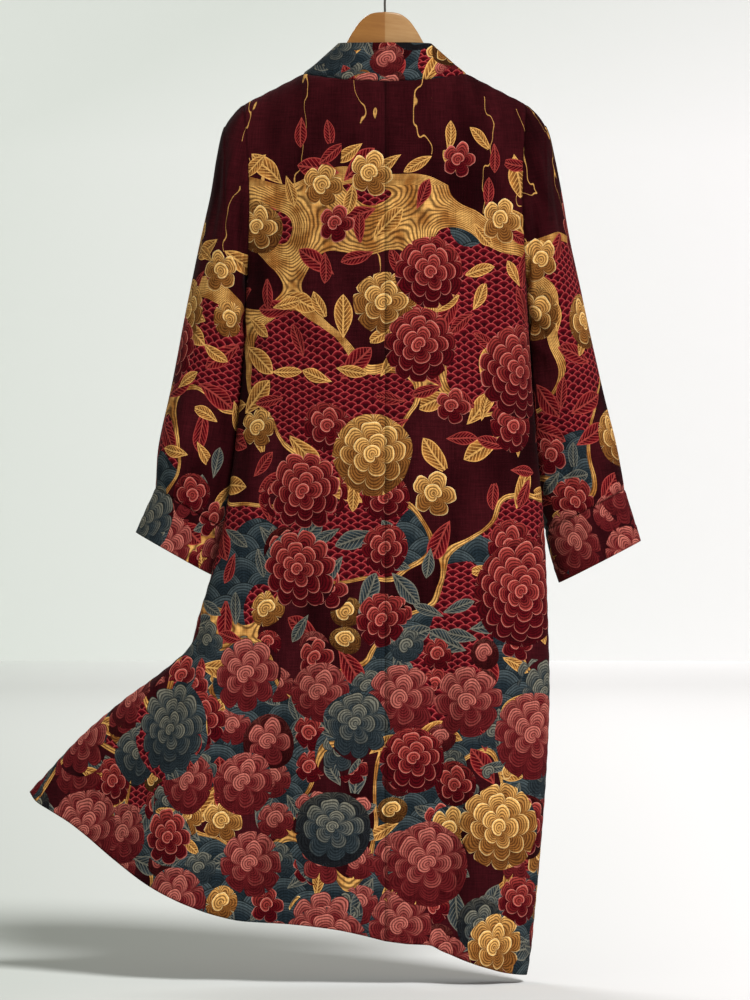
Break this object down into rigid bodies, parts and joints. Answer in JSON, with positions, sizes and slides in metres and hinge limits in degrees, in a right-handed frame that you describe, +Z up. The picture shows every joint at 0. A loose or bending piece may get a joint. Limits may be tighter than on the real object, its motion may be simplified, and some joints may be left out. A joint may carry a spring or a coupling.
{
  "type": "long kimono on a hanger",
  "caption": "Long open-front kimono robe with long sleeves and a collar band, hung on a wooden hanger, with a lower corner of the skirt blown out sideways.",
  "frame": {"origin": "the inside top of the hanger's hook, where it rests on a rail", "axes": "+Z up, -Y towards the robe's back, +Y towards its open front, +X to the right as seen from behind"},
  "size_m": [0.8622, 0.186, 1.4242],
  "materials": {
    "robe_cloth": "matt printed linen-like plain weave",
    "cuff_cloth": "matt printed linen-like plain weave",
    "band_cloth": "matt printed linen-like plain weave, folded double",
    "hanger_wood": "satin varnished light wood",
    "hook_steel": "dull grey wire"
  },
  "bodies": {
    "root": {"back_left": "robe_cloth", "back_right": "robe_cloth", "front_left": "robe_cloth", "front_right": "robe_cloth", "sleeve_left": "robe_cloth", "sleeve_right": "robe_cloth", "cuff_left": "cuff_cloth", "cuff_right": "cuff_cloth", "collar_band": "band_cloth", "hanger_body": "hanger_wood", "hanger_hook": "hook_steel"}
  },
  "joints": []
}
